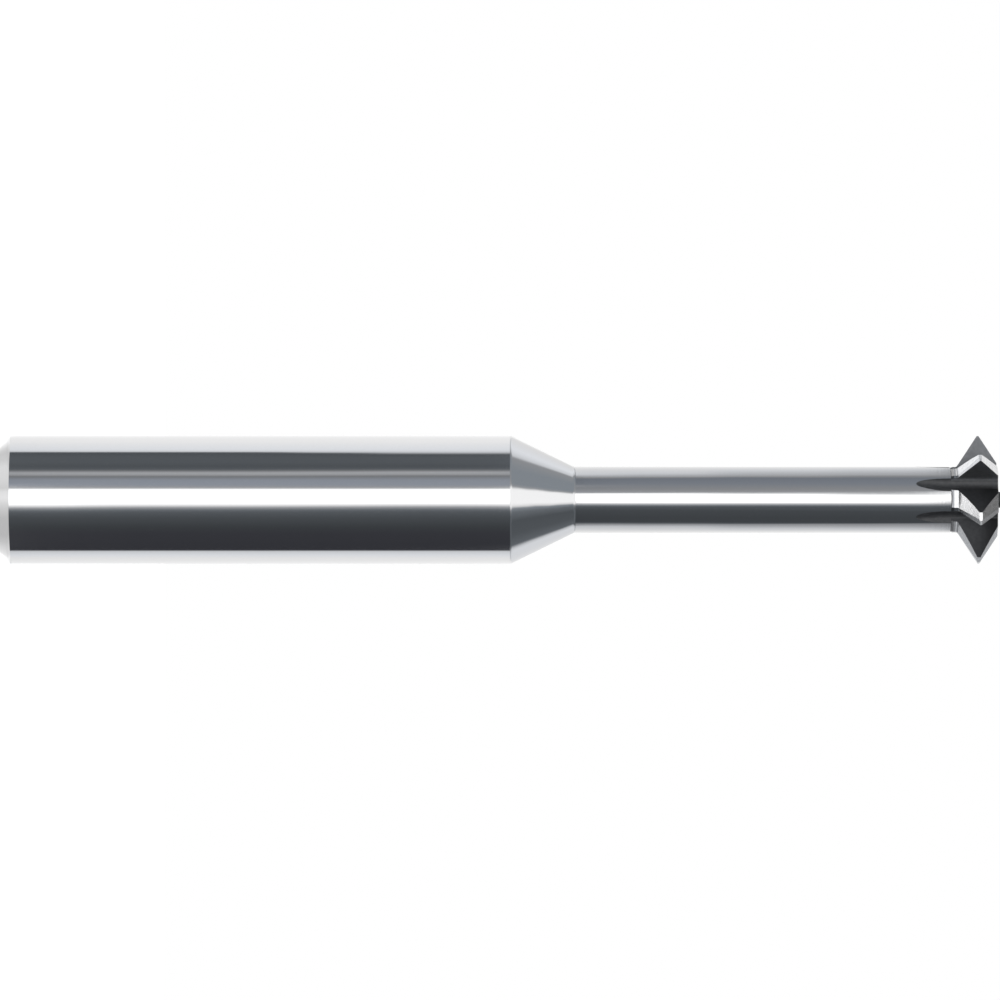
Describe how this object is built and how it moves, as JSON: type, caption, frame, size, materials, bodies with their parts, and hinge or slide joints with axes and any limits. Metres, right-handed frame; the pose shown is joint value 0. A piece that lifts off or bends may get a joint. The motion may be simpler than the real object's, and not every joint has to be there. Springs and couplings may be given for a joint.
{
  "type": "thread_mill",
  "caption": "Solid carbide thread mill with straight flutes, a single-profile cutting head, a slim neck and a plain cylindrical shank",
  "frame": {"origin": "middle of the flat shank end, which the tool stands on", "axes": "+Z runs along the tool axis from the shank end to the cutting end; +X points to the first cutting edge; seen from +Z the tool turns anticlockwise in the cut"},
  "size_m": [0.01, 0.01, 0.0782],
  "materials": {
    "ground_carbide": "fine ground and polished cemented carbide"
  },
  "bodies": {
    "root": {"thread_mill": "ground_carbide"}
  },
  "joints": []
}
